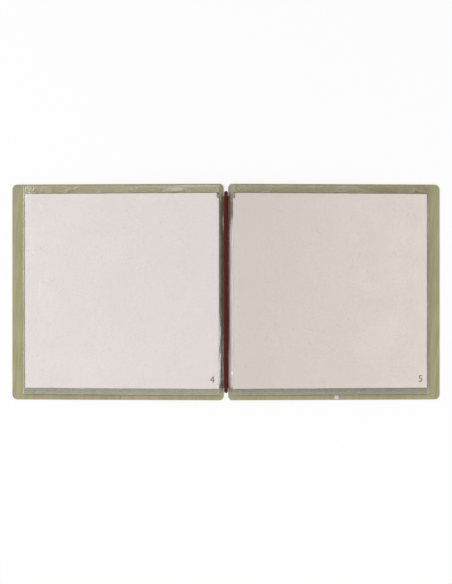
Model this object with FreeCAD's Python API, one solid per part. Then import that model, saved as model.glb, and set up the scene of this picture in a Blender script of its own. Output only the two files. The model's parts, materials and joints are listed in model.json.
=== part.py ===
import FreeCAD, Part
import math
import os

# A square collecting album lying open, its inside up. Millimetres. X runs across the
# spread, Y up the page, Z up from the table. The origin is under the middle of the spine.

# Cover: one soft sheet, bent at two creases beside a narrow spine
COVER_THICKNESS = 1.2
COVER_TOP_BORDER = 1.85
COVER_BOTTOM_BORDER = 4.15
COVER_OUTER_BORDER = 9.3
COVER_CORNER_RADIUS = 4.0
SPINE_HALF_WIDTH = 5.2
CREASE_GAP = 0.1
CREASE_RISE = 1.1

# Notch at each end of the spine, where the cord goes round
NOTCH_WIDTH = 3.4
NOTCH_LIP_RADIUS = 3.4

# Elastic cord, a closed loop round the spine
CORD_DIAMETER = 3.0
CORD_SETBACK = 5.7
CORD_CLEARANCE = 0.05

# Sleeves: each folded sheet has a pocket on either side of its fold
SHEETS = 4
FILM_THICKNESS = 0.12
FOLD_HALF_WIDTH = 3.6
POCKET_START = 4.7
INNER_SEAM_WIDTH = 0.6
OUTER_SEAM_WIDTH = 2.1
BOTTOM_SEAM_WIDTH = 5.6
MOUTH_MARGIN = 6.2
LEAF_GAP_AT_EDGE = 0.1
LEAF_GAP_AT_FOLD = 0.5
TURN_CLEARANCE = 0.4

# Card insert in each pocket, with a small step at the inner top corner
INSERT_SIDE = 150.0
INSERT_THICKNESS = 0.3
INSERT_CLEARANCE = 0.08
INSERT_SIDE_CLEARANCE = 0.2
INSERT_STEP_WIDTH = 1.6
INSERT_STEP_HEIGHT = 4.0

# Small blank tab at the lower edge of the back cover
TAB_WIDTH = 4.4
TAB_THICKNESS = 0.25
TAB_FROM_SPINE = 86.0
TAB_EDGE_MARGIN = 0.2
TAB_POCKET_GAP = 0.15

# Pocket, insert and cover outlines, each sized to hold the one before
POCKET_GAP = INSERT_THICKNESS + 2 * INSERT_CLEARANCE
LEAF_THICKNESS = POCKET_GAP + 2 * FILM_THICKNESS
INSERT_START = POCKET_START + INNER_SEAM_WIDTH + INSERT_SIDE_CLEARANCE
INSERT_END = INSERT_START + INSERT_SIDE
POCKET_END = INSERT_END + INSERT_SIDE_CLEARANCE + OUTER_SEAM_WIDTH
POCKET_HEIGHT = BOTTOM_SEAM_WIDTH + INSERT_SIDE_CLEARANCE + INSERT_SIDE + MOUTH_MARGIN
COVER_REACH = POCKET_END + COVER_OUTER_BORDER
COVER_HEIGHT = COVER_BOTTOM_BORDER + POCKET_HEIGHT + COVER_TOP_BORDER
POCKET_BOTTOM = COVER_BOTTOM_BORDER - COVER_HEIGHT / 2
POCKET_TOP = POCKET_BOTTOM + POCKET_HEIGHT
INSERT_BOTTOM = POCKET_BOTTOM + BOTTOM_SEAM_WIDTH + INSERT_SIDE_CLEARANCE
INSERT_TOP = INSERT_BOTTOM + INSERT_SIDE
INSERT_TRAVEL = POCKET_TOP - INSERT_BOTTOM + INSERT_SIDE_CLEARANCE
TAB_HEIGHT = COVER_BOTTOM_BORDER - TAB_EDGE_MARGIN - TAB_POCKET_GAP

# Heights that follow from the sizes above
CORD_RADIUS = CORD_DIAMETER / 2
SPINE_UNDERSIDE = CORD_DIAMETER + CORD_CLEARANCE
SPINE_TOP = SPINE_UNDERSIDE + COVER_THICKNESS
FOLD_TOP = SPINE_TOP + SHEETS * FILM_THICKNESS
INNER_RUN_HEIGHT = FOLD_TOP + CORD_CLEARANCE + CORD_RADIUS
OUTER_RUN_HEIGHT = CORD_RADIUS
WRAP_RADIUS = (INNER_RUN_HEIGHT - OUTER_RUN_HEIGHT) / 2
WRAP_CENTRE = COVER_HEIGHT / 2 - CORD_SETBACK - CORD_RADIUS - WRAP_RADIUS
NOTCH_FLOOR = WRAP_CENTRE - CORD_CLEARANCE

# Turning line of each cover, and how far the panels droop to the table from it
CREASE_HEIGHT = SPINE_TOP + CREASE_RISE
DROOP = math.degrees(math.asin(SPINE_UNDERSIDE / (COVER_REACH - SPINE_HALF_WIDTH)))
COVER_CLOSED_ANGLE = 90.0 + DROOP

# Each leaf above the lowest is lifted more at the fold than at the outer edge
LEAF_PITCH = LEAF_THICKNESS + LEAF_GAP_AT_FOLD
FAN_STEP = math.degrees(
    math.asin((LEAF_GAP_AT_FOLD - LEAF_GAP_AT_EDGE) / (POCKET_END - POCKET_START))
)
STACK_TOP = SPINE_TOP + LEAF_GAP_AT_EDGE + (SHEETS - 1) * LEAF_PITCH + LEAF_THICKNESS
LEAF_TURN_HEIGHT = STACK_TOP + TURN_CLEARANCE

UP = FreeCAD.Vector(0, 0, 1)
ALONG_SPINE = FreeCAD.Vector(0, 1, 0)
ACROSS = FreeCAD.Vector(1, 0, 0)
ORIGIN = FreeCAD.Vector(0, 0, 0)


def box(x_low, x_high, y_low, y_high, z_low, thickness):
    """A flat block between two x and two y values, standing on z_low."""
    corner = FreeCAD.Vector(x_low, y_low, z_low)
    return Part.makeBox(x_high - x_low, y_high - y_low, thickness, corner)


def plate(corners, z_low, thickness):
    """A flat plate whose outline has corners (x, y, radius), the radius 0 where sharp."""
    edges = []
    ends = []
    count = len(corners)
    for i in range(count):
        here = FreeCAD.Vector(corners[i][0], corners[i][1], z_low)
        before = FreeCAD.Vector(corners[i - 1][0], corners[i - 1][1], z_low)
        after = FreeCAD.Vector(corners[(i + 1) % count][0], corners[(i + 1) % count][1], z_low)
        back = (before - here).normalize()
        ahead = (after - here).normalize()
        radius = corners[i][2]
        start = here + back * radius
        end = here + ahead * radius
        if radius:
            bulge = (back + ahead) * (radius * (1 - math.sqrt(0.5)))
            edges.append(Part.Arc(start, here + bulge, end).toShape())
        ends.append((start, end))
    for i in range(count):
        edges.append(Part.LineSegment(ends[i - 1][1], ends[i][0]).toShape())
    outline = Part.Wire(Part.__sortEdges__(edges))
    return Part.Face(outline).extrude(UP * thickness)


def droop(shape):
    """Lower a right-hand cover, or what lies on it, about the crease until its edge meets the table."""
    shape.rotate(FreeCAD.Vector(SPINE_HALF_WIDTH, 0, CREASE_HEIGHT), ALONG_SPINE, DROOP)
    return shape


def on_side(shape, side):
    """A shape built on the right, or its mirror image on the left."""
    if side == "left":
        return shape.mirror(ORIGIN, ACROSS)
    return shape


def spine_panel():
    """Strip between the creases, notched at both ends for the cord."""
    half = NOTCH_WIDTH / 2
    edge = COVER_HEIGHT / 2
    corners = [
        (SPINE_HALF_WIDTH, -edge, 0),
        (SPINE_HALF_WIDTH, edge, 0),
        (half, edge, NOTCH_LIP_RADIUS),
        (half, NOTCH_FLOOR, 0),
        (-half, NOTCH_FLOOR, 0),
        (-half, edge, NOTCH_LIP_RADIUS),
        (-SPINE_HALF_WIDTH, edge, 0),
        (-SPINE_HALF_WIDTH, -edge, 0),
        (-half, -edge, NOTCH_LIP_RADIUS),
        (-half, -NOTCH_FLOOR, 0),
        (half, -NOTCH_FLOOR, 0),
        (half, -edge, NOTCH_LIP_RADIUS),
    ]
    return plate(corners, SPINE_UNDERSIDE, COVER_THICKNESS)


def cover_panel():
    """Right-hand cover from the crease to its rounded outer corners."""
    crease = SPINE_HALF_WIDTH + CREASE_GAP
    edge = COVER_HEIGHT / 2
    corners = [
        (crease, -edge, 0),
        (COVER_REACH, -edge, COVER_CORNER_RADIUS),
        (COVER_REACH, edge, COVER_CORNER_RADIUS),
        (crease, edge, 0),
    ]
    return droop(plate(corners, SPINE_UNDERSIDE, COVER_THICKNESS))


def elastic_cord():
    """Loop with one run over the folds, one under the spine, and a half turn at each notch."""
    loop = None
    for height in (INNER_RUN_HEIGHT, OUTER_RUN_HEIGHT):
        start = FreeCAD.Vector(0, -WRAP_CENTRE, height)
        run = Part.makeCylinder(CORD_RADIUS, 2 * WRAP_CENTRE, start, ALONG_SPINE)
        loop = run if loop is None else loop.fuse(run)
    middle = (INNER_RUN_HEIGHT + OUTER_RUN_HEIGHT) / 2
    for end, turn in ((WRAP_CENTRE, 180), (-WRAP_CENTRE, -180)):
        start = FreeCAD.Vector(0, end, OUTER_RUN_HEIGHT)
        section = Part.Face(Part.Wire(Part.Circle(start, ALONG_SPINE, CORD_RADIUS).toShape()))
        loop = loop.fuse(section.revolve(FreeCAD.Vector(0, end, middle), ACROSS, turn))
    return loop.removeSplitter()


def sleeve_fold(number):
    """The strip of one sheet that lies under the cord. Sheet 1 is the innermost, on top."""
    bottom = SPINE_TOP + (SHEETS - number) * FILM_THICKNESS
    return box(
        -FOLD_HALF_WIDTH, FOLD_HALF_WIDTH, -NOTCH_FLOOR, NOTCH_FLOOR, bottom, FILM_THICKNESS
    )


def leaf_bottom(number):
    """Height of a leaf's underside at the fold, before the cover droops."""
    return SPINE_TOP + LEAF_GAP_AT_EDGE + (SHEETS - number) * LEAF_PITCH


def on_leaf(shape, number):
    """Tip a leaf's piece down towards the outer edge, then lower it with its cover."""
    hinge = FreeCAD.Vector(POCKET_START, 0, leaf_bottom(number))
    shape.rotate(hinge, ALONG_SPINE, (SHEETS - number) * FAN_STEP)
    return droop(shape)


def film(number, above):
    """One of a pocket's two clear films."""
    bottom = leaf_bottom(number) + above
    sheet = box(POCKET_START, POCKET_END, POCKET_BOTTOM, POCKET_TOP, bottom, FILM_THICKNESS)
    return on_leaf(sheet, number)


def seams(number):
    """Welds that join the two films at the fold side, the outer side and the bottom."""
    bottom = leaf_bottom(number) + FILM_THICKNESS
    inner_end = POCKET_START + INNER_SEAM_WIDTH
    outer_start = POCKET_END - OUTER_SEAM_WIDTH
    low_top = POCKET_BOTTOM + BOTTOM_SEAM_WIDTH
    inner = box(POCKET_START, inner_end, POCKET_BOTTOM, POCKET_TOP, bottom, POCKET_GAP)
    outer = box(outer_start, POCKET_END, POCKET_BOTTOM, POCKET_TOP, bottom, POCKET_GAP)
    low = box(inner_end, outer_start, POCKET_BOTTOM, low_top, bottom, POCKET_GAP)
    return on_leaf(Part.makeCompound([inner, outer, low]), number)


def insert(number):
    """Square card with a small step at its inner top corner."""
    bottom = leaf_bottom(number) + FILM_THICKNESS + INSERT_CLEARANCE
    step_x = INSERT_START + INSERT_STEP_WIDTH
    step_y = INSERT_TOP - INSERT_STEP_HEIGHT
    corners = [
        (INSERT_START, INSERT_BOTTOM, 0),
        (INSERT_END, INSERT_BOTTOM, 0),
        (INSERT_END, INSERT_TOP, 0),
        (step_x, INSERT_TOP, 0),
        (step_x, step_y, 0),
        (INSERT_START, step_y, 0),
    ]
    return on_leaf(plate(corners, bottom, INSERT_THICKNESS), number)


def edge_tab():
    """Blank tab on the inner face of the back cover, at its lower edge."""
    low = -COVER_HEIGHT / 2 + TAB_EDGE_MARGIN
    left = TAB_FROM_SPINE - TAB_WIDTH / 2
    right = TAB_FROM_SPINE + TAB_WIDTH / 2
    return droop(box(left, right, low, low + TAB_HEIGHT, SPINE_TOP, TAB_THICKNESS))


def all_pieces():
    """Every piece of the album by its name."""
    pieces = {
        "spine_panel": spine_panel(),
        "front_cover": on_side(cover_panel(), "left"),
        "back_cover": on_side(cover_panel(), "right"),
        "elastic_cord": elastic_cord(),
        "edge_tab": edge_tab(),
    }
    for number in range(1, SHEETS + 1):
        pieces[f"sleeve_{number}_fold"] = sleeve_fold(number)
        for side in ("left", "right"):
            name = f"{side}_sleeve_{number}"
            pieces[f"{name}_back_film"] = on_side(film(number, 0), side)
            pieces[f"{name}_front_film"] = on_side(film(number, FILM_THICKNESS + POCKET_GAP), side)
            pieces[f"{name}_seams"] = on_side(seams(number), side)
            pieces[f"{name}_insert"] = on_side(insert(number), side)
    return pieces


os.makedirs("parts", exist_ok=True)
for piece_name, piece in all_pieces().items():
    piece.exportStep(f"parts/{piece_name}.step")
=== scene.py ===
# %% [markdown]
# A square collecting album lies open on a table. Its soft green cover is one sheet, a red
# elastic cord ties the folded film sleeves to the spine, and every pocket holds a plain card.
# The CAD model gives each piece its place. This lesson dresses it, piece by piece.

# %% Load the frame
import json
import math

import bpy
from mathutils import Matrix, Vector

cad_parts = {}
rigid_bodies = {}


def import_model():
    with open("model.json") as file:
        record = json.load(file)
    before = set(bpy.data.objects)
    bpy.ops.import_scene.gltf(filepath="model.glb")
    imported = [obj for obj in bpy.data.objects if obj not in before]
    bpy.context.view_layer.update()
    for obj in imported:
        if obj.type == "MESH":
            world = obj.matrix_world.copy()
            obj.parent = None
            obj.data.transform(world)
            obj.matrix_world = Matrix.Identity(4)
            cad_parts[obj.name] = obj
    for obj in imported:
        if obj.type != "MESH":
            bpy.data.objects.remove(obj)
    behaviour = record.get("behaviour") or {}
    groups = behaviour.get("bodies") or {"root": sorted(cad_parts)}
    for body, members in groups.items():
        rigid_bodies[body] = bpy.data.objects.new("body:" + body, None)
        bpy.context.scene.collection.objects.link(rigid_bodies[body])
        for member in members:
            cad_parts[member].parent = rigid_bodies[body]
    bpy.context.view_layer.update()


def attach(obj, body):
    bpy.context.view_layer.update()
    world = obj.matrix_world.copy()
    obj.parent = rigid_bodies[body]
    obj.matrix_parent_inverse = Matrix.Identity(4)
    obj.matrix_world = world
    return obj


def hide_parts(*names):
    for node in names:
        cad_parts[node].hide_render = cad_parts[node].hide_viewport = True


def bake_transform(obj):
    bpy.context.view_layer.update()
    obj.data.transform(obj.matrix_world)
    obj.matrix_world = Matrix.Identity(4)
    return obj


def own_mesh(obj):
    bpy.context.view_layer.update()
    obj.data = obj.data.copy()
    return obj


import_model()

# %% [markdown]
# The sizes below are the ones that the CAD model was drawn with. Blender works in metres, so
# each is given in millimetres and scaled once. What depends on another size is worked out from
# it, as on a drawing.

# %% Sizes of the album
MM = 0.001
COVER_THICKNESS = 1.2 * MM
COVER_REACH = 167.1 * MM
COVER_HEIGHT = 168 * MM
COVER_CORNER_RADIUS = 4 * MM
SPINE_HALF_WIDTH = 5.2 * MM
SPINE_UNDERSIDE = 3.05 * MM
SPINE_TOP = SPINE_UNDERSIDE + COVER_THICKNESS
CREASE_HEIGHT = SPINE_TOP + 1.1 * MM
DROOP = math.asin(SPINE_UNDERSIDE / (COVER_REACH - SPINE_HALF_WIDTH))
SHEETS = 4
FILM = 0.12 * MM
POCKET_GAP = 0.46 * MM
POCKET_START = 4.7 * MM
POCKET_END = 157.8 * MM
POCKET_BOTTOM = -79.85 * MM
POCKET_TOP = 82.15 * MM
LEAF_PITCH = 1.2 * MM
FAN_STEP = math.asin(0.4 * MM / (POCKET_END - POCKET_START))
SIDES = ("left", "right")

# %% [markdown]
# Every operator works on what is selected, so a piece is picked up alone before anything is
# done to it. These short helpers select, apply a modifier, and set a finished piece in its place
# with the move baked into its mesh.

# %% Helpers for handling pieces
def pick(obj):
    """Select one object alone and make it active."""
    bpy.ops.object.select_all(action="DESELECT")
    obj.select_set(True)
    bpy.context.view_layer.objects.active = obj


def shape_with(obj, kind, **settings):
    """Add a modifier with these settings and apply it."""
    pick(obj)
    modifier = obj.modifiers.new(kind.lower(), kind)
    for name, value in settings.items():
        setattr(modifier, name, value)
    bpy.ops.object.modifier_apply(modifier=modifier.name)


def set_in_place(obj, matrix):
    """Move a piece by a matrix, bake the move into its mesh and turn its faces outwards."""
    pick(obj)
    obj.matrix_world = matrix
    bpy.ops.object.transform_apply(location=True, rotation=True, scale=True)
    bpy.ops.object.mode_set(mode="EDIT")
    bpy.ops.mesh.select_all(action="SELECT")
    bpy.ops.mesh.remove_doubles(threshold=0.0005 * MM)
    bpy.ops.mesh.normals_make_consistent(inside=False)
    bpy.ops.object.mode_set(mode="OBJECT")
    bpy.ops.object.shade_smooth_by_angle(angle=math.radians(45))


def select_points(obj, test):
    """Leave obj in edit mode with only the points selected that pass the test."""
    bpy.ops.object.mode_set(mode="EDIT")
    bpy.ops.mesh.select_mode(type="VERT")
    bpy.ops.mesh.select_all(action="DESELECT")
    bpy.ops.object.mode_set(mode="OBJECT")
    for vertex in obj.data.vertices:
        vertex.select = test(vertex.co)
    bpy.ops.object.mode_set(mode="EDIT")


def select_faces(obj, test):
    """Leave obj in edit mode with only the faces selected whose middle passes the test."""
    bpy.ops.object.mode_set(mode="EDIT")
    bpy.ops.mesh.select_mode(type="FACE")
    bpy.ops.mesh.select_all(action="DESELECT")
    bpy.ops.object.mode_set(mode="OBJECT")
    for polygon in obj.data.polygons:
        polygon.select = test(polygon.center)
    bpy.ops.object.mode_set(mode="EDIT")


def smooth_step(value):
    """0 below 0, 1 above 1 and a soft S between."""
    value = min(max(value, 0.0), 1.0)
    return value * value * (3 - 2 * value)


# %% [markdown]
# The left half of the album mirrors the right half. A piece is therefore drawn on the right and
# turned by the same two tilts as in the CAD model: each leaf fans down a little towards its outer
# edge, and the whole side droops from the crease to the table.

# %% Where a leaf and a cover lie
MIRROR = {"left": Matrix.Scale(-1, 4, Vector((1, 0, 0))), "right": Matrix.Identity(4)}
COVER_BODY = {"left": "front_cover", "right": "back_cover"}
LEAF_GAP = 0.1 * MM


def turn_about(x, z, angle):
    """Matrix that turns about a line along the spine through (x, z)."""
    there = Matrix.Translation((x, 0, z))
    return there @ Matrix.Rotation(angle, 4, "Y") @ there.inverted()


def leaf_bottom(number):
    """Height of a leaf's underside at the fold, before the side droops. Leaf 1 is on top."""
    return SPINE_TOP + LEAF_GAP + (SHEETS - number) * LEAF_PITCH


def fold_bottom(number):
    """Height of the underside of a sheet's fold, under the cord."""
    return SPINE_TOP + (SHEETS - number) * FILM


def side_matrix(side):
    """Place of what lies on one cover."""
    return MIRROR[side] @ turn_about(SPINE_HALF_WIDTH, CREASE_HEIGHT, DROOP)


def leaf_matrix(side, number):
    """Place of one leaf."""
    fan = turn_about(POCKET_START, leaf_bottom(number), (SHEETS - number) * FAN_STEP)
    return side_matrix(side) @ fan


print("droop", round(math.degrees(DROOP), 3), "fan step", round(math.degrees(FAN_STEP), 3))

# %% [markdown]
# Materials are small networks of nodes. A wrapper round a socket lets the maths between them be
# written as plain Python, and one method adds any other node with its settings and inputs.

# %% A small language for materials
class Socket:
    """An output of a node, with arithmetic that adds Math nodes."""

    def __init__(self, network, output):
        self.network = network
        self.output = output

    def maths(self, operation, first, second=0.0):
        return self.network.add("ShaderNodeMath", {"operation": operation}, {0: first, 1: second})

    def __add__(self, other):
        return self.maths("ADD", self, other)

    def __radd__(self, other):
        return self.maths("ADD", other, self)

    def __sub__(self, other):
        return self.maths("SUBTRACT", self, other)

    def __rsub__(self, other):
        return self.maths("SUBTRACT", other, self)

    def __mul__(self, other):
        return self.maths("MULTIPLY", self, other)

    def __rmul__(self, other):
        return self.maths("MULTIPLY", other, self)

    def __pow__(self, other):
        return self.maths("POWER", self, other)

    def __gt__(self, other):
        return self.maths("GREATER_THAN", self, other)

    def sine(self):
        return self.maths("SINE", self)

    def size(self):
        return self.maths("ABSOLUTE", self)


class Network:
    """A tree of nodes, with short ways to add to it."""

    def __init__(self, tree):
        self.tree = tree

    def add(self, kind, settings=None, inputs=None, output=0):
        node = self.tree.nodes.new(kind)
        for name, value in (settings or {}).items():
            setattr(node, name, value)
        for name, value in (inputs or {}).items():
            if isinstance(value, Socket):
                self.tree.links.new(value.output, node.inputs[name])
            else:
                node.inputs[name].default_value = value
        return Socket(self, node.outputs[output])

    def place(self, stretch=(1, 1, 1), turn=0.0):
        """Object coordinates in millimetres, turned about Z and divided by stretch along each axis."""
        where = self.add("ShaderNodeTexCoord", output="Object")
        scale = tuple(part * MM for part in stretch)
        inputs = {"Vector": where, "Rotation": (0, 0, turn), "Scale": scale}
        return self.add("ShaderNodeMapping", {"vector_type": "TEXTURE"}, inputs)

    def axes(self, where):
        """The X and Y parts of a vector."""
        parts = self.add("ShaderNodeSeparateXYZ", {}, {0: where}).output.node.outputs
        return Socket(self, parts["X"]), Socket(self, parts["Y"])

    def noise(self, where, size, detail=3.0, roughness=0.55):
        """Soft noise whose grains are about size millimetres across."""
        inputs = {"Vector": where, "Scale": 1 / size, "Detail": detail, "Roughness": roughness}
        return self.add("ShaderNodeTexNoise", {}, inputs)

    def ramp(self, value, low, high, start=0.0, end=1.0):
        """Start below low, end above high, with a soft step between."""
        inputs = {"Value": value, "From Min": low, "From Max": high, "To Min": start, "To Max": end}
        return self.add("ShaderNodeMapRange", {"interpolation_type": "SMOOTHSTEP"}, inputs)

    def near(self, value, middle, full, none, peak=1.0):
        """Peak where value is within full of middle, and 0 where it is farther away than none."""
        return self.ramp((value - middle).size(), full, none, peak, 0.0)

    def tint(self, factor, first, second):
        """Colour first where the factor is 0 and second where it is 1."""
        # A Mix node has its two colours in sockets 6 and 7, and the mixed one in output 2.
        inputs = {0: factor, 6: first, 7: second}
        return self.add("ShaderNodeMix", {"data_type": "RGBA"}, inputs, 2)

    def bump(self, height, depth, strength=1.0):
        """Normal of a surface whose height varies by depth millimetres."""
        inputs = {"Height": height, "Distance": depth * MM, "Strength": strength}
        return self.add("ShaderNodeBump", {}, inputs)


class Finish(Network):
    """One material and the nodes in it."""

    def __init__(self, name):
        self.material = bpy.data.materials.new(name)
        self.material.use_nodes = True
        super().__init__(self.material.node_tree)
        self.tree.nodes.clear()

    def done(self, shader):
        """Make a shader the material's surface."""
        end = self.tree.nodes.new("ShaderNodeOutputMaterial")
        self.tree.links.new(shader.output, end.inputs["Surface"])
        return self.material


def rgb(red, green, blue):
    """Linear colour from the 0 to 255 values of a picture."""
    def linear(value):
        value = value / 255
        return value / 12.92 if value < 0.04045 else ((value + 0.055) / 1.055) ** 2.4
    return (linear(red), linear(green), linear(blue), 1.0)


# %% [markdown]
# The cover is a soft sage-green plastic with a very fine pressed grain. The grain could be
# modelled, but at half a millimetre it belongs in the material: fine noise and the cells of a
# Voronoi texture give the bump. Long slanted noise gives the faint ribs of a rolled sheet, and a
# slow one the patches that handling leaves.

# %% Cover finish
GRAIN_SIZE = 0.55
PEBBLE_SIZE = 0.8
PATCH_SIZE = 28
RIB_SIZE = (1.7, 38, 38)
RIB_SLANT = -0.1


def cover_finish():
    finish = Finish("sage vinyl")
    where = finish.place()
    grain = finish.noise(where, GRAIN_SIZE, 2.0, 0.6)
    cells = {"Vector": where, "Scale": 1 / PEBBLE_SIZE}
    pebble = finish.add("ShaderNodeTexVoronoi", {"feature": "SMOOTH_F1"}, cells)
    patch = finish.noise(where, PATCH_SIZE, 2.0)
    ribs = finish.noise(finish.place(RIB_SIZE, RIB_SLANT), 1.0, 1.0)
    shade = finish.ramp(patch * 0.4 + ribs * 0.6, 0.33, 0.67)
    colour = finish.tint(shade, rgb(148, 144, 106), rgb(167, 162, 126))
    colour = finish.tint(finish.ramp(pebble, 0.15, 0.75) * 0.28, colour, rgb(132, 128, 95))
    height = grain * 0.6 + pebble * -0.5
    return finish.done(finish.add("ShaderNodeBsdfPrincipled", {}, {
        "Base Color": colour,
        "Roughness": finish.ramp(grain, 0.3, 0.7, 0.48, 0.66),
        "Specular IOR Level": 0.35,
        "Normal": finish.bump(height, 0.09, 0.7),
    }))


cover_vinyl = cover_finish()
print("finish", cover_vinyl.name)

# %% [markdown]
# The cards are uncoated recycled board: a pale warm grey with soft fibres, a fine grain and a few
# dark specks. The specks are the middles of the cells of a Voronoi texture, so they need no image.
# Both sides are one board. The left is painted lighter and the right darker and warmer, as painted
# light from the left, and both are painted darker towards the spine as painted shade, so they are
# palest at the outer edge.

# %% Card finish
FIBRE_SIZE = (0.35, 1.6, 1)
CLOUD_SIZE = 34
CARD_GRAIN_SIZE = 0.9
CARD_SHADE_INNER = 5
CARD_SHADE_OUTER = 160
SPECKS = ((7.0, 0.03, rgb(158, 145, 138)), (15, 0.02, rgb(92, 84, 82)))


def card_finish(name, inner, outer, warm, grainy):
    finish = Finish(name)
    where = finish.place()
    across = finish.axes(where)[0]
    fibre = finish.noise(finish.place(FIBRE_SIZE), 1.0, 4.0, 0.65)
    cloud = finish.noise(where, CLOUD_SIZE, 3.0)
    # Painted shade: the card is darker towards the spine and palest at its outer edge.
    colour = finish.tint(finish.ramp(across.size(), CARD_SHADE_INNER, CARD_SHADE_OUTER), inner, outer)
    colour = finish.tint(finish.ramp(cloud, 0.35, 0.65) * 0.5, colour, warm)
    colour = finish.tint(finish.ramp(fibre, 0.52, 0.8) * 0.45, colour, rgb(204, 193, 186))
    grain = finish.noise(where, CARD_GRAIN_SIZE, 1.0)
    colour = finish.tint(finish.ramp(grain, 0.4, 0.75) * grainy, colour, rgb(186, 177, 171))
    flat = {"voronoi_dimensions": "2D"}
    for cell, reach, dark in SPECKS:
        spot = finish.add("ShaderNodeTexVoronoi", flat, {"Vector": where, "Scale": 1 / cell})
        colour = finish.tint(finish.ramp(spot, reach * 0.55, reach, 0.75, 0.0), colour, dark)
    return finish.done(finish.add("ShaderNodeBsdfPrincipled", {}, {
        "Base Color": colour,
        "Roughness": finish.ramp(fibre, 0.3, 0.7, 0.86, 0.95),
        "Specular IOR Level": 0.2,
        "Normal": finish.bump(fibre, 0.03, 0.5),
    }))


# One board on both sides: the left card is painted lit and the right is painted in shade.
cards = {
    "left": card_finish(
        "lit card", rgb(230, 222, 220), rgb(234, 226, 224), rgb(229, 220, 217), grainy=0.25
    ),
    "right": card_finish(
        "shaded card", rgb(217, 207, 201), rgb(231, 222, 216), rgb(220, 210, 203), grainy=0.34
    ),
}
print("finishes", cards["left"].name, cards["right"].name)

# %% [markdown]
# Clear film lets most light through and mirrors a little, more at a slant. The usual rule for that, a
# small value head on and the fifth power of the slant beyond it, mixes a Transparent shader with a
# mirror-like one. It shows what lies behind without the dark shadows of true glass. Long soft waves in
# the normal break up its reflections. Welded edges are the same film, pressed and a little grey. A
# veil that depends on the place is added to the mirror share: on the welds it is a milky haze towards
# the lower edge and a painted highlight line along the outer side, and elsewhere it is painted
# highlights, glints and reflections. Its places are in millimetres across and up the spread.

# %% Film veils and painted highlights
OUTER_HIGHLIGHT_LINE = 157.1


def weld_veil(finish):
    """Pressed film is milkier towards its lower edge, with a broken painted highlight line along its
    outer side.
    """
    across, up = finish.axes(finish.place())
    broken = finish.noise(finish.place((3, 24, 3)), 1.0, 2.0)
    # The broken line along the outer side is a painted highlight.
    line = finish.near(across.size(), OUTER_HIGHLIGHT_LINE, 0.25, 0.7)
    line = line * finish.ramp(broken, 0.4, 0.65, 0.0, 0.06)
    return finish.ramp(up, -79.5, -74.5, 0.022, 0.0) + line


def mouth_veil(finish):
    """Painted reflections on free film: faint curling lines and a faint haze that leaves the outer
    corner clear, and on the left a painted highlight and a painted highlight line along the top.
    """
    across, up = finish.axes(finish.place())
    # Every mark here is a painted reflection or highlight.
    curls = finish.noise(finish.place((16, 9, 9)), 1.0, 1.0)
    lines = finish.near(curls, 0.5, 0.004, 0.02, 0.045)
    corner = finish.ramp(across.size() + up * 4.6, 470, 476, 0.009, 0.0)
    shine = finish.near(across, -38, 2, 8, 0.08)
    shine = shine * finish.near(up - across * 0.03, 80.2, 0.4, 1.8)
    top_edge_highlight = finish.near(across, -22, 12, 20, 0.05) * finish.near(up, 81.7, 0.2, 0.5)
    return lines + corner + shine + top_edge_highlight


def left_web_veil(finish):
    """Painted highlight streaks beside the cord that begin half-way down and widen, and one painted
    glint near the top.
    """
    across, up = finish.axes(finish.place())
    streaks = finish.noise(finish.place((0.7, 17, 3)), 1.0, 2.0)
    tall = finish.ramp(up, -72, -66) * finish.ramp(up, -46, -8, 1.0, 0.0)
    broad = finish.ramp(across.size(), 1.7, 2.8) * finish.ramp(across.size(), 4.5, 5.3, 1.0, 0.3)
    glint = finish.near(across.size(), 2.3, 0.1, 0.6) * finish.near(up, 54, 1.5, 5.5, 0.7)
    return tall * broad * finish.ramp(streaks, 0.36, 0.64, 0.03, 0.75) + glint


def right_web_veil(finish):
    """A painted pale highlight band beside the cord over most of its length, and one painted glint
    near the bottom.
    """
    across, up = finish.axes(finish.place())
    streaks = finish.noise(finish.place((0.9, 21, 3)), 1.0, 2.0)
    tall = finish.ramp(up, -75, -70) * finish.ramp(up, 42, 60, 1.0, 0.0)
    broad = finish.ramp(across.size() + finish.ramp(up, -58, -36, 1.4, 0.0), 2.0, 3.5)
    glint = finish.near(across.size(), 4.7, 0.3, 0.8) * finish.near(up, -62, 0.6, 1.5, 0.9)
    return tall * broad * finish.ramp(streaks, 0.3, 0.7, 0.52, 0.8) + glint


VEILS_AND_HIGHLIGHTS = (weld_veil, mouth_veil, left_web_veil, right_web_veil)
print("veils", [veil_and_highlights.__name__ for veil_and_highlights in VEILS_AND_HIGHLIGHTS])

# %% [markdown]
# One function makes every film. What the welds, the free mouth and the creased strips each have in
# common is written once. The left films are tinted lighter and the right ones darker as painted light
# from the left, and the films by the cord are tinted darker as painted shade.

# %% Film finishes
HEAD_ON = 0.037
SCUFF_SIZE = (0.8, 9, 3)
METAL_LIKE = (rgb(232, 233, 228), 0.5)
# Pale colour of the painted highlight band beside the cord.
HIGHLIGHT_WHITE = (rgb(240, 231, 225), 0.0)
SMOOTH = {"gloss": 0.4, "wave_size": (14, 22, 22), "wave_depth": 0.8}
CUT = {"gloss": 0.3, "wave_size": (9, 3, 9), "wave_depth": 0.5}
WELDED = {"gloss": 0.4, "wave_size": (30, 9, 9), "wave_depth": 0.05, "veil_and_highlights": weld_veil}
RIPPLED = {"gloss": 0.4, "wave_size": (12, 5, 9), "wave_depth": 0.4, "veil_and_highlights": mouth_veil}
CREASED = {"wave_size": (1.5, 16, 3), "wave_depth": 0.7}
STREAK_HIGHLIGHTS = {"gloss": 0.5, "haze": 0.008, "sheen": METAL_LIKE, "veil_and_highlights": left_web_veil}
BAND_HIGHLIGHT = {"gloss": 0.5, "haze": 0.012, "sheen": HIGHLIGHT_WHITE, "veil_and_highlights": right_web_veil}


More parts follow.
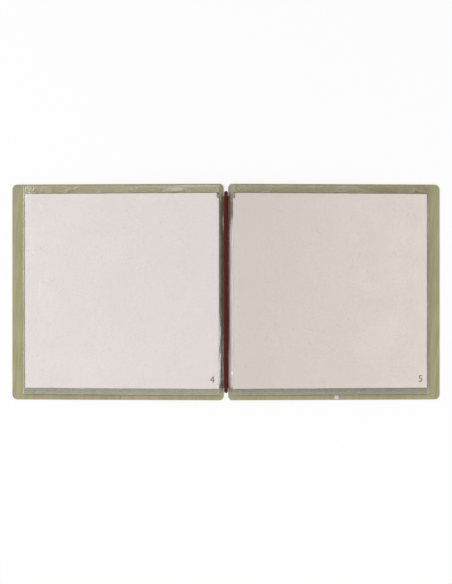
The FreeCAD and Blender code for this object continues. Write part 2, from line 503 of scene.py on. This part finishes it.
def film_finish(name, clear, gloss, haze, wave_size, wave_depth, sheen=METAL_LIKE, veil_and_highlights=None):
    finish = Finish(name)
    waves = finish.noise(finish.place(wave_size), 1.0, 2.0, 0.45)
    scuffs = finish.noise(finish.place(SCUFF_SIZE), 1.0, 3.0, 0.6)
    normal = finish.bump(waves, wave_depth)
    facing = {"Blend": 0.5, "Normal": normal}
    slant = finish.add("ShaderNodeLayerWeight", {}, facing, "Facing")
    mirrored = HEAD_ON + (1 - HEAD_ON) * slant ** 5
    factor = mirrored * gloss + finish.ramp(scuffs, 0.5, 0.8, haze, haze * 2.2)
    # The veil adds painted highlights and reflections, and on the welds also a milky haze.
    if veil_and_highlights:
        factor = factor + veil_and_highlights(finish)
    through = finish.add("ShaderNodeBsdfTransparent", {}, {"Color": clear})
    colour, metallic = sheen
    mirror = finish.add("ShaderNodeBsdfPrincipled", {}, {
        "Base Color": colour,
        "Metallic": metallic,
        "Roughness": finish.ramp(scuffs, 0.4, 0.8, 0.06, 0.2),
        "Normal": normal,
    })
    return finish.done(finish.add("ShaderNodeMixShader", {}, {0: factor, 1: through, 2: mirror}))


clear_film = film_finish("clear film", (0.994, 0.994, 0.992, 1), haze=0.004, **SMOOTH)
# The left welds are tinted lighter and the right ones darker, as painted light from the left.
weld_film = {
    "left": film_finish("lit welded film", (0.982, 0.978, 0.976, 1), haze=0.03, **WELDED),
    "right": film_finish("welded film", (0.974, 0.97, 0.971, 1), haze=0.014, **WELDED),
}
# The left mouths are tinted lighter and the right ones darker, as painted light from the left.
mouth_film = {
    "left": film_finish("lit rippled film", (0.998, 0.996, 0.985, 1), haze=0.001, **RIPPLED),
    "right": film_finish("rippled film", (0.988, 0.986, 0.972, 1), haze=0.001, **RIPPLED),
}
# The cut edge is tinted dark as a painted shadow line under the stack.
edge_shadow_film = film_finish("cut film edge shadow", (0.8, 0.785, 0.74, 1), haze=0.004, **CUT)
# Both webs are tinted darker as painted shade of the gutter, and carry painted highlights and glints.
web_film = {
    "left": film_finish("film with painted streaks", (0.974, 0.967, 0.961, 1), **CREASED, **STREAK_HIGHLIGHTS),
    "right": film_finish("film with a painted band", (0.978, 0.972, 0.966, 1), **CREASED, **BAND_HIGHLIGHT),
}
# Film tinted dark as painted shade, under the cord and in the strips beside the cards.
shade_film = film_finish("painted shade film", (0.935, 0.915, 0.9, 1), gloss=0.4, haze=0.003, **CREASED)
print("finishes", clear_film.name, edge_shadow_film.name, shade_film.name)

# %% [markdown]
# The elastic has a braided cover. Its threads run both ways round the cord, so the pattern
# follows a UV map that is laid along the loop: U counts threads along it and V goes once round.
# The signs of the two waves say which set lies on top, so that changes from crossing to crossing.

# %% Elastic finish
THREADS_ROUND = 8


def elastic_finish():
    finish = Finish("braided elastic")
    along, around = finish.axes(finish.add("ShaderNodeTexCoord", output="UV"))
    turn = 2 * math.pi
    right = (along * turn + around * (turn * THREADS_ROUND)).sine()
    left = (along * turn - around * (turn * THREADS_ROUND)).sine()
    over = right * left > 0
    thread = over * right.size() + (1 - over) * left.size()
    wear = finish.noise(finish.place(), 3.0, 3.0)
    colour = finish.tint(finish.ramp(thread, 0.1, 0.9), rgb(42, 6, 8), rgb(97, 20, 21))
    colour = finish.tint(finish.ramp(wear, 0.5, 0.75) * 0.3, colour, rgb(104, 28, 27))
    return finish.done(finish.add("ShaderNodeBsdfPrincipled", {}, {
        "Base Color": colour,
        "Roughness": finish.ramp(thread, 0.1, 0.9, 0.85, 0.6),
        "Specular IOR Level": 0.16,
        "Normal": finish.bump(thread, 0.14, 0.8),
    }))


elastic = elastic_finish()
print("finish", elastic.name)

# %% [markdown]
# The small tab is a scrap of white woven ribbon. Two waves crossed at right angles make its weave,
# and the printed page numbers are a plain soft black ink.

# %% Ribbon and ink finishes
TAB_MIDDLE = 86 * MM
TAB_HALF_WIDTH = 2.2 * MM
TAB_LOW = -83.8 * MM
TAB_HIGH = -80.0 * MM
WEAVE_PITCH = 0.32


def ribbon_finish():
    finish = Finish("woven ribbon")
    across, up = finish.axes(finish.place())
    warp = (across * (math.pi / WEAVE_PITCH)).sine().size()
    weft = (up * (math.pi / WEAVE_PITCH)).sine().size()
    weave = warp * 0.5 + weft * 0.5
    soil = finish.noise(finish.place(), 1.6, 3.0)
    colour = finish.tint(finish.ramp(weave, 0.2, 0.8), rgb(176, 170, 164), rgb(222, 217, 211))
    colour = finish.tint(finish.ramp(soil, 0.5, 0.8) * 0.4, colour, rgb(172, 164, 156))
    sides = finish.ramp((across - TAB_MIDDLE / MM).size(), 1.5, 2.0)
    ends = finish.ramp((up - (TAB_LOW + TAB_HIGH) / 2 / MM).size(), 1.3, 1.8)
    colour = finish.tint(finish.ramp(sides + ends, 0.0, 0.8), colour, rgb(132, 124, 118))
    return finish.done(finish.add("ShaderNodeBsdfPrincipled", {}, {
        "Base Color": colour,
        "Roughness": finish.ramp(weave, 0.2, 0.8, 0.9, 0.7),
        "Normal": finish.bump(weave, 0.08, 0.8),
    }))


def ink_finish():
    finish = Finish("page ink")
    fade = finish.noise(finish.place(), 0.4, 3.0)
    colour = finish.tint(finish.ramp(fade, 0.35, 0.75), rgb(72, 70, 70), rgb(112, 108, 106))
    return finish.done(finish.add("ShaderNodeBsdfPrincipled", {}, {
        "Base Color": colour,
        "Roughness": finish.ramp(fade, 0.3, 0.7, 0.8, 0.95),
    }))


ribbon = ribbon_finish()
ink = ink_finish()
print("finishes", ribbon.name, ink.name)

# %% [markdown]
# The cover is one soft sheet from edge to edge, and its middle is the spine. It is modelled as two
# halves that meet under the cord, and each half is bent down at its own crease. A plane gets rounded
# corners and a notch for the cord, is cut into narrow strips where it bends, and is then thickened.

# %% Cover halves
NOTCH_HALF_WIDTH = 1.7 * MM
NOTCH_FLOOR = 74.36 * MM
NOTCH_LIP_RADIUS = 3.4 * MM
BEND_STRIP = 0.5 * MM
BEND_STRIPS = 24
RIM_ROUNDING = 0.4 * MM
BEND_START = 2.2 * MM
BEND_WIDTH = 6 * MM
TOUCH = 0.01 * MM


def cut_across(x=None, y=None):
    """Cut the mesh that is being edited along one line of x or y."""
    bpy.ops.mesh.select_all(action="SELECT")
    if x is not None:
        bpy.ops.mesh.bisect(plane_co=(x, 0, 0), plane_no=(1, 0, 0))
    if y is not None:
        bpy.ops.mesh.bisect(plane_co=(0, y, 0), plane_no=(0, 1, 0))


def round_corners(obj, x, radius):
    """Round the corners of a flat sheet that lie at x on its top and bottom edges."""
    def at_corner(point):
        on_edge = abs(abs(point.y) - COVER_HEIGHT / 2) < TOUCH
        return on_edge and abs(point.x - x) < TOUCH

    select_points(obj, at_corner)
    bpy.ops.mesh.bevel(offset=radius, segments=8, affect="VERTICES")
    bpy.ops.object.mode_set(mode="OBJECT")


def cover_bend(point):
    """Place of a point of the flat sheet once the cover droops from its crease."""
    share = smooth_step((point.x - BEND_START) / BEND_WIDTH)
    middle = SPINE_UNDERSIDE + COVER_THICKNESS / 2
    flat = Vector((point.x, point.y, middle))
    return turn_about(SPINE_HALF_WIDTH, CREASE_HEIGHT, DROOP * share) @ flat


def cover_half(side):
    bpy.ops.object.select_all(action="DESELECT")
    bpy.ops.mesh.primitive_plane_add(size=1, location=(COVER_REACH / 2, 0, 0))
    half = bpy.context.object
    half.name = COVER_BODY[side] + "_sheet"
    half.scale = (COVER_REACH, COVER_HEIGHT, 1)
    bpy.ops.object.transform_apply(location=True, rotation=True, scale=True)
    round_corners(half, COVER_REACH, COVER_CORNER_RADIUS)
    bpy.ops.object.mode_set(mode="EDIT")
    cut_across(x=NOTCH_HALF_WIDTH)
    cut_across(y=NOTCH_FLOOR)
    cut_across(y=-NOTCH_FLOOR)
    select_faces(half, lambda p: p.x < NOTCH_HALF_WIDTH and abs(p.y) > NOTCH_FLOOR)
    bpy.ops.mesh.delete(type="FACE")
    bpy.ops.object.mode_set(mode="OBJECT")
    round_corners(half, NOTCH_HALF_WIDTH, NOTCH_LIP_RADIUS)
    bpy.ops.object.mode_set(mode="EDIT")
    for strip in range(1, BEND_STRIPS):
        cut_across(x=strip * BEND_STRIP)
    bpy.ops.object.mode_set(mode="OBJECT")
    for vertex in half.data.vertices:
        vertex.co = cover_bend(vertex.co)
    shape_with(half, "SOLIDIFY", thickness=COVER_THICKNESS, offset=0.0)
    sharp = {"limit_method": "ANGLE", "angle_limit": math.radians(60)}
    shape_with(half, "BEVEL", width=RIM_ROUNDING, segments=3, **sharp)
    set_in_place(half, MIRROR[side])
    half.data.materials.append(cover_vinyl)
    return half


for side in SIDES:
    half = cover_half(side)
    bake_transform(half)
    if side == "left":
        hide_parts("front_cover", "spine_panel")
    else:
        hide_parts("back_cover")
    print(half.name, len(half.data.polygons), "faces")

# %% [markdown]
# The films are thin sheets that are not quite flat. A grid whose lines crowd together at the welds
# can follow both the step over the card's edge and the slow ripple of a free edge, so one helper
# makes every film from its lines and a rule for the height.

# %% Helper for thin sheets
def spread(low, high, count):
    """Count + 1 values from low to high."""
    return [low + (high - low) * step / count for step in range(count + 1)]


def thin_sheet(name, columns, rows, shape, thickness=FILM):
    """A grid with lines at columns and rows, moved by shape(x, y) and thickened upwards."""
    bpy.ops.object.select_all(action="DESELECT")
    across = len(columns) - 1
    up = len(rows) - 1
    bpy.ops.mesh.primitive_grid_add(x_subdivisions=across, y_subdivisions=up, size=1)
    sheet = bpy.context.object
    sheet.name = name
    for vertex in sheet.data.vertices:
        x = columns[round((vertex.co.x + 0.5) * across)]
        y = rows[round((vertex.co.y + 0.5) * up)]
        vertex.co = shape(x, y)
    shape_with(sheet, "SOLIDIFY", thickness=thickness, offset=1.0)
    return sheet


# %% [markdown]
# A pocket is two clear films welded on three sides and open at the top. The back film runs to the
# welded edges. The front film rises over the card and dips again to each weld, and its open mouth
# ripples. Keeping them apart lets each stand for its own solid in the CAD model. A film's faces take
# their finish by where they lie. Every leaf has a painted shade strip just above its card. The top
# leaf also has a painted shadow line along its cut lower edge, painted shade beside the card's outer
# edge and, on the right, painted shade along the film's outer edge.

# %% Pocket films
INSERT_START = 5.5 * MM
INSERT_END = 155.5 * MM
INSERT_BOTTOM = -74.05 * MM
INSERT_TOP = 75.95 * MM
WELD_TOP = POCKET_BOTTOM + 5.6 * MM
EDGE_SHADOW_WIDTH = 0.75 * MM
SHADED_TOP = INSERT_TOP + 0.55 * MM
SHADED_SIDE = INSERT_END + 0.9 * MM
FILM_SHOULDER = INSERT_END + 0.15 * MM
FILM_FOOT = INSERT_END + 0.85 * MM
LONG_WAVE = 5.3 * MM
SHORT_WAVE = 2.9 * MM
BACK_RIPPLE = 0.16 * MM
FRONT_RIPPLE = 0.09 * MM
MOUTH_SAG = 0.3 * MM
WELD_CLEARANCE = 0.01 * MM


def ripple(x, y, seed):
    """A slow wave between -1 and 1 that differs from leaf to leaf."""
    first = math.sin(x / LONG_WAVE + seed * 1.7 + math.sin(y / (7 * MM)))
    second = math.sin(x / SHORT_WAVE + seed * 2.9 + y / (11 * MM))
    return 0.6 * first + 0.4 * second


def margin_share(y):
    """0 beside the card and more above and below it, where the film is free to ripple."""
    above = (y - INSERT_TOP) / (3 * MM)
    below = (WELD_TOP - y) / (2 * MM)
    return max(smooth_step(above), 0.1 * smooth_step(below))


def film_part(middle, side, on_top):
    """Part of a film that a face with this middle belongs to, before the film is set in place."""
    # The edge and shaded parts are painted shadow lines and painted shade strips.
    if on_top and middle.y < POCKET_BOTTOM + EDGE_SHADOW_WIDTH:
        return "edge"
    if on_top and INSERT_END < middle.x < SHADED_SIDE:
        return "shaded"
    if on_top and side == "right" and middle.x > POCKET_END - EDGE_SHADOW_WIDTH:
        return "shaded"
    if middle.y < WELD_TOP or middle.x > INSERT_END:
        return "weld"
    if INSERT_TOP < middle.y < SHADED_TOP:
        return "shaded"
    if middle.x < INSERT_START:
        return "web"
    if middle.y > INSERT_TOP:
        return "mouth"
    return "clear"


def dress_film(film, side, number):
    """Give each part of a film its own finish."""
    finishes = {
        "clear": clear_film,
        "mouth": mouth_film[side],
        "weld": weld_film[side],
        "edge": edge_shadow_film,
        "web": web_film[side],
        "shaded": shade_film,
    }
    parts = list(finishes)
    for finish in finishes.values():
        film.data.materials.append(finish)
    for polygon in film.data.polygons:
        part = film_part(polygon.center, side, number == 1)
        polygon.material_index = parts.index(part)


def back_film(side, number):
    outer = [SHADED_SIDE, POCKET_END - EDGE_SHADOW_WIDTH, POCKET_END]
    columns = [POCKET_START] + spread(INSERT_START, FILM_SHOULDER, 60) + outer
    low_rows = [POCKET_BOTTOM] + spread(POCKET_BOTTOM + EDGE_SHADOW_WIDTH, WELD_TOP, 4)
    rows = low_rows + spread(WELD_TOP, INSERT_TOP, 30)[1:] + spread(SHADED_TOP, POCKET_TOP, 5)
    seed = number + (0.5 if side == "left" else 0)

    def shape(x, y):
        wave = BACK_RIPPLE * margin_share(y) * (1 + ripple(x, y, seed)) / 2
        return (x, y, leaf_bottom(number) + wave)

    film = thin_sheet(f"{side}_pocket_{number}_back", columns, rows, shape)
    dress_film(film, side, number)
    set_in_place(film, leaf_matrix(side, number))
    return film


def front_film(side, number):
    inner = [POCKET_START + 0.25 * MM, INSERT_START - 0.1 * MM]
    outer = [FILM_SHOULDER, FILM_FOOT]
    columns = inner + spread(INSERT_START + 1 * MM, INSERT_END - 1 * MM, 60) + outer
    low_rows = [WELD_TOP - 0.5 * MM, WELD_TOP + 0.05 * MM]
    card_rows = spread(INSERT_BOTTOM + 1 * MM, INSERT_TOP, 30)
    rows = low_rows + card_rows + spread(SHADED_TOP, POCKET_TOP, 5)
    seed = number + (3.5 if side == "left" else 3)
    low = leaf_bottom(number) + FILM + WELD_CLEARANCE
    high = leaf_bottom(number) + FILM + POCKET_GAP

    def shape(x, y):
        welded = x in (columns[0], columns[-1]) or y == rows[0]
        if welded:
            return (x, y, low)
        sag = MOUTH_SAG * smooth_step((y - INSERT_TOP) / (5 * MM))
        wave = FRONT_RIPPLE * smooth_step((y - INSERT_TOP) / (3 * MM)) * ripple(x, y, seed)
        return (x, y, high - sag + wave)

    film = thin_sheet(f"{side}_pocket_{number}_front", columns, rows, shape)
    dress_film(film, side, number)
    set_in_place(film, leaf_matrix(side, number))
    return film


for side in SIDES:
    for number in range(1, SHEETS + 1):
        node = f"{side}_sleeve_{number}"
        leaf = f"{side}_leaf_{number}"
        back = back_film(side, number)
        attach(back, leaf)
        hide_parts(f"{node}_back_film", f"{node}_seams")
        front = front_film(side, number)
        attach(front, leaf)
        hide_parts(f"{node}_front_film")
print("pockets", SHEETS * 2, "faces each", len(back.data.polygons) + len(front.data.polygons))

# %% [markdown]
# From each pocket the film runs on down to the fold, where the cord holds it on the spine. That strip
# is soft and creased, and its finish paints the highlights beside the cord and the shade of the
# gutter. It goes with its leaf.

# %% Film between pockets and cord
WEB_START = 2.0 * MM
WEB_END = 4.8 * MM
WEB_HALF_HEIGHT = 80 * MM
WEB_FILM = 0.08 * MM
WEB_LIFT = 0.02 * MM
CREASE_ACROSS = 0.22 * MM
CREASE_UP = 0.16 * MM
FOLD_REACH = 74.3 * MM
POCKET_REACH = (POCKET_TOP - POCKET_BOTTOM) / 2 - 0.05 * MM
POCKET_MIDDLE = (POCKET_TOP + POCKET_BOTTOM) / 2
CLEAR_END = 70 * MM


def film_web(side, number):
    low = fold_bottom(number)
    high = leaf_bottom(number) + WEB_LIFT
    seed = number + (0.4 if side == "left" else 2.3)

    def shape(x, y):
        share = (x - WEB_START) / (WEB_END - WEB_START)
        rise = smooth_step(share ** 1.3)
        reach = y * (FOLD_REACH + (POCKET_REACH - FOLD_REACH) * share) / WEB_HALF_HEIGHT
        shift = POCKET_MIDDLE * share
        loose = math.sin(math.pi * share)
        crease = ripple(y * 1.9, x * 4, seed) * loose
        height = low + (high - low) * rise + CREASE_UP * crease
        return (x + CREASE_ACROSS * crease, reach + shift, height)

    columns = spread(WEB_START, WEB_END, 12)
    rows = spread(-WEB_HALF_HEIGHT, WEB_HALF_HEIGHT, 90)
    web = thin_sheet(f"{side}_web_{number}", columns, rows, shape, WEB_FILM)
    finishes = (web_film[side], mouth_film[side])
    for finish in finishes:
        web.data.materials.append(finish)
    for polygon in web.data.polygons:
        finish = mouth_film[side] if polygon.center.y > CLEAR_END else web_film[side]
        polygon.material_index = finishes.index(finish)
    set_in_place(web, MIRROR[side])
    return web


for side in SIDES:
    for number in range(1, SHEETS + 1):
        web = film_web(side, number)
        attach(web, f"{side}_leaf_{number}")
        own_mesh(web)
print("webs", SHEETS * 2, "faces each", len(web.data.polygons))

# %% [markdown]
# Under the cord the four sheets lie on each other, each as a strip with an edge that is not quite
# straight. They stay with the spine.

# %% Folds under the cord
FOLD_HALF_WIDTH = 3.6 * MM
STRIP_THICKNESS = FILM * 0.92
EDGE_WANDER = 0.05


def fold_strip(number):
    low = fold_bottom(number)

    def shape(x, y):
        narrowed = 1 - EDGE_WANDER * (1 + ripple(y * 0.6, 0, number))
        return (x * narrowed, y, low)

    columns = spread(-FOLD_HALF_WIDTH, FOLD_HALF_WIDTH, 8)
    rows = spread(-FOLD_REACH, FOLD_REACH, 60)
    strip = thin_sheet(f"fold_{number}", columns, rows, shape, STRIP_THICKNESS)
    # The strip takes the film that is tinted dark as painted shade under the cord.
    strip.data.materials.append(shade_film)
    set_in_place(strip, Matrix.Identity(4))
    return strip


for number in range(1, SHEETS + 1):
    strip = fold_strip(number)
    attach(strip, "spine")
    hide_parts(f"sleeve_{number}_fold")
print("folds", SHEETS)

# %% [markdown]
# The cord is a closed loop stretched round the spine. A torus is cut into two half turns by moving
# its halves apart, which leaves two straight runs between them. The runs are then divided, and
# a UV map is laid along the loop for the braid.

# %% Elastic cord
CORD_RADIUS = 1.5 * MM
INNER_RUN = 6.28 * MM
OUTER_RUN = 1.5 * MM
WRAP_RADIUS = (INNER_RUN - OUTER_RUN) / 2
WRAP_MIDDLE = (INNER_RUN + OUTER_RUN) / 2
WRAP_CENTRE = 74.41 * MM
THREAD_PITCH = 1.3 * MM
WRAP_STEPS = 32
CORD_SIDES = 20
RUN_CUTS = 60


def loop_place(point):
    """Length along the loop and share of a turn round the cord, for a point of its surface."""
    up = point.z - WRAP_MIDDLE
    straight = 2 * WRAP_CENTRE
    half_turn = math.pi * WRAP_RADIUS
    beyond = abs(point.y) - WRAP_CENTRE
    if beyond > 0:
        angle = math.atan2(beyond, up if point.y > 0 else -up)
        out = math.hypot(beyond, up) - WRAP_RADIUS
        along = straight + angle * WRAP_RADIUS
        if point.y < 0:
            along += straight + half_turn
    else:
        out = abs(up) - WRAP_RADIUS
        along = point.y + WRAP_CENTRE
        if up < 0:
            along = straight + half_turn + WRAP_CENTRE - point.y
    return along, math.atan2(point.x, out) / (2 * math.pi)


def lay_braid(obj):
    """Give the loop a UV map with threads along it in U and once round in V."""
    length = 4 * WRAP_CENTRE + 2 * math.pi * WRAP_RADIUS
    layer = obj.data.uv_layers.new(name="braid")
    for polygon in obj.data.polygons:
        first = None
        for loop in polygon.loop_indices:
            vertex = obj.data.vertices[obj.data.loops[loop].vertex_index]
            along, around = loop_place(vertex.co)
            if first is None:
                first = (along, around)
            along += length * round((first[0] - along) / length)
            around += round(first[1] - around)
            layer.data[loop].uv = (along / THREAD_PITCH, around)
    return length


bpy.ops.object.select_all(action="DESELECT")
bpy.ops.mesh.primitive_torus_add(
    major_radius=WRAP_RADIUS,
    minor_radius=CORD_RADIUS,
    major_segments=WRAP_STEPS,
    minor_segments=CORD_SIDES,
)
cord = bpy.context.object
cord.name = "elastic_loop"
half_step = math.pi / WRAP_STEPS
stand = Matrix.Rotation(math.pi / 2, 4, "Y") @ Matrix.Rotation(half_step, 4, "Z")
set_in_place(cord, Matrix.Translation((0, 0, WRAP_MIDDLE)) @ stand)
for sign in (-1, 1):
    select_points(cord, lambda p: p.y * sign > 0)
    bpy.ops.transform.translate(value=(0, sign * WRAP_CENTRE, 0))
bpy.ops.mesh.select_mode(type="EDGE")
bpy.ops.mesh.select_all(action="DESELECT")
bpy.ops.object.mode_set(mode="OBJECT")
for edge in cord.data.edges:
    ends = [cord.data.vertices[index].co.y for index in edge.vertices]
    edge.select = ends[0] * ends[1] < 0
bpy.ops.object.mode_set(mode="EDIT")
bpy.ops.mesh.subdivide(number_cuts=RUN_CUTS)
bpy.ops.object.mode_set(mode="OBJECT")
set_in_place(cord, Matrix.Identity(4))
cord_length = lay_braid(cord)
cord.data.materials.append(elastic)
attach(cord, "spine")
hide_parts("elastic_cord")
print("cord loop", round(cord_length / MM, 1), "mm", len(cord.data.polygons), "faces")

# %% [markdown]
# The cards are flat and cut square, with a small step at one corner, and the CAD solids already
# have that shape. They keep it and take the card finish. A plain page number is set in the lower
# right corner of each, as a thin raised print that slides out with its card.

# %% Cards and page numbers
NUMBER_SIZE = 7.5 * MM
NUMBER_FROM_EDGE = 4.9 * MM
NUMBER_FROM_BOTTOM = 6.7 * MM
NUMBER_PLACE = {"left": INSERT_START + NUMBER_FROM_EDGE, "right": INSERT_END - NUMBER_FROM_EDGE}
CARD_TOP = 0.38 * MM
PRINT_THICKNESS = 0.02 * MM


def page_number(side, number):
    page = SHEETS + number if side == "right" else SHEETS + 1 - number
    bpy.ops.object.select_all(action="DESELECT")
    bpy.ops.object.text_add()
    text = bpy.context.object
    text.data.body = str(page)
    text.data.size = NUMBER_SIZE
    text.data.align_x = "CENTER"
    text.data.align_y = "CENTER"
    bpy.ops.object.convert(target="MESH")
    print_mesh = bpy.context.object
    print_mesh.name = f"{side}_page_number_{number}"
    shape_with(print_mesh, "SOLIDIFY", thickness=PRINT_THICKNESS, offset=1.0)
    top = leaf_bottom(number) + FILM + CARD_TOP
    upright = Matrix.Translation((NUMBER_PLACE[side], INSERT_BOTTOM + NUMBER_FROM_BOTTOM, top))
    set_in_place(print_mesh, leaf_matrix(side, number) @ upright @ MIRROR[side])
    print_mesh.data.materials.append(ink)
    return print_mesh


for side in SIDES:
    for number in range(1, SHEETS + 1):
        insert = bpy.data.objects[f"{side}_sleeve_{number}_insert"]
        insert.data.materials.clear()
        insert.data.materials.append(cards[side])
        mark = page_number(side, number)
        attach(mark, f"{side}_insert_{number}")
print("cards", SHEETS * 2)

# %% [markdown]
# A scrap of ribbon is welded to the lower edge of the back cover. It is a small grid that dips at
# its sides, so that it looks pressed on and not like a block.

# %% Edge tab
TAB_THICKNESS = 0.15 * MM
TAB_CROWN = 0.1 * MM
TAB_SHOULDER = 0.7 * MM
TAB_LIFT = 0.01 * MM


def tab_shape(x, y):
    side_gap = (TAB_HALF_WIDTH - abs(x - TAB_MIDDLE)) / TAB_SHOULDER
    end_gap = min(y - TAB_LOW, TAB_HIGH - y) / TAB_SHOULDER
    crown = TAB_CROWN * smooth_step(min(side_gap, end_gap))
    return (x, y, SPINE_TOP + TAB_LIFT + crown)


tab_columns = spread(TAB_MIDDLE - TAB_HALF_WIDTH, TAB_MIDDLE + TAB_HALF_WIDTH, 14)
tab_rows = spread(TAB_LOW, TAB_HIGH, 14)
tab = thin_sheet("ribbon_tab", tab_columns, tab_rows, tab_shape, TAB_THICKNESS)
set_in_place(tab, side_matrix("right"))
tab.data.materials.append(ribbon)
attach(tab, "back_cover")
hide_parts("edge_tab")
print("tab", len(tab.data.polygons), "faces")

# %% [markdown]
# The album lies on a white sweep. The floor is a pale plane that shows as white to the camera and
# still takes a soft shadow. It is whitest far away, so that no horizon shows. Four broad lamps
# stand round it at a slant, so that flat film mirrors none of them into the camera, and the left
# one is the strongest.

# %% Floor, lamps and background
SKY_LIGHT = 0.36
WHITE = (1, 1, 1, 1)
FLOOR_SIZE = 40
FLOOR_HEIGHT = -0.0003
GLOW_START = 400
GLOW_END = 1600
SHOWN = ("Is Camera Ray", "Is Glossy Ray", "Is Transmission Ray")


def shown_rays(network):
    """1 for rays that show a surface to the camera, straight on or in a mirror or glass."""
    rays = network.add("ShaderNodeLightPath").output.node.outputs
    straight, glossy, passing = [Socket(network, rays[name]) for name in SHOWN]
    return (straight + glossy + passing) > 0.5


def floor_finish():
    finish = Finish("white floor")
    shown = shown_rays(finish)
    paint = finish.add("ShaderNodeBsdfDiffuse", {}, {"Color": (0.9, 0.9, 0.9, 1)})
    glow = finish.add("ShaderNodeEmission", {}, {"Color": WHITE, "Strength": 1.0})
    far = finish.add("ShaderNodeVectorMath", {"operation": "LENGTH"}, {0: finish.place()}, "Value")
    share = finish.ramp(far, GLOW_START, GLOW_END, 0.85, 1.0)
    mixed = finish.add("ShaderNodeMixShader", {}, {0: shown * share, 1: paint, 2: glow})
    return finish.done(mixed)


bpy.ops.object.select_all(action="DESELECT")
bpy.ops.mesh.primitive_plane_add(size=FLOOR_SIZE, location=(0, 0, FLOOR_HEIGHT))
floor = bpy.context.object
floor.name = "floor"
floor.data.materials.append(floor_finish())


def lamp(name, place, width, power):
    """A square lamp that points at the middle of the album."""
    bpy.ops.object.light_add(type="AREA", location=place)
    light = bpy.context.object
    light.name = name
    light.data.shape = "SQUARE"
    light.data.size = width
    light.data.energy = power
    light.rotation_euler = (-Vector(place)).to_track_quat("-Z", "Y").to_euler()


lamp("left lamp", (-1.2, 0.2, 0.9), width=1.1, power=11.0)
lamp("right lamp", (1.0, -0.15, 0.62), width=0.83, power=3.6)
lamp("top lamp", (0.1, 1.2, 0.9), width=1.1, power=2.8)
lamp("bottom lamp", (-0.1, -1.2, 0.9), width=1.1, power=9.4)
scene = bpy.context.scene
scene.view_settings.view_transform = "Standard"
scene.world = bpy.data.worlds.new("studio")
scene.world.use_nodes = True
sky = Network(scene.world.node_tree)
background = sky.tree.nodes["Background"]
background.inputs["Color"].default_value = WHITE
strength = SKY_LIGHT + (1 - SKY_LIGHT) * shown_rays(sky)
sky.tree.links.new(strength.output, background.inputs["Strength"])
scene.cycles.transparent_max_bounces = 64
print("floor, lamps and world are set")

# %% [markdown]
# The photograph was taken from close above the middle of the spread. A camera at the same height
# gives the same slight growth of the pages that lie nearer to it.

# %% Camera
CAMERA_HEIGHT = 0.36
CAMERA_LENS = 28.3
SENSOR_WIDTH = 36
NEAREST_SEEN = 0.01
bpy.ops.object.camera_add(location=(0, 0, CAMERA_HEIGHT), rotation=(0, 0, 0))
camera = bpy.context.object
camera.name = "camera"
camera.data.lens = CAMERA_LENS
camera.data.sensor_width = SENSOR_WIDTH
camera.data.clip_start = NEAREST_SEEN
scene.camera = camera
print("camera lens", camera.data.lens)
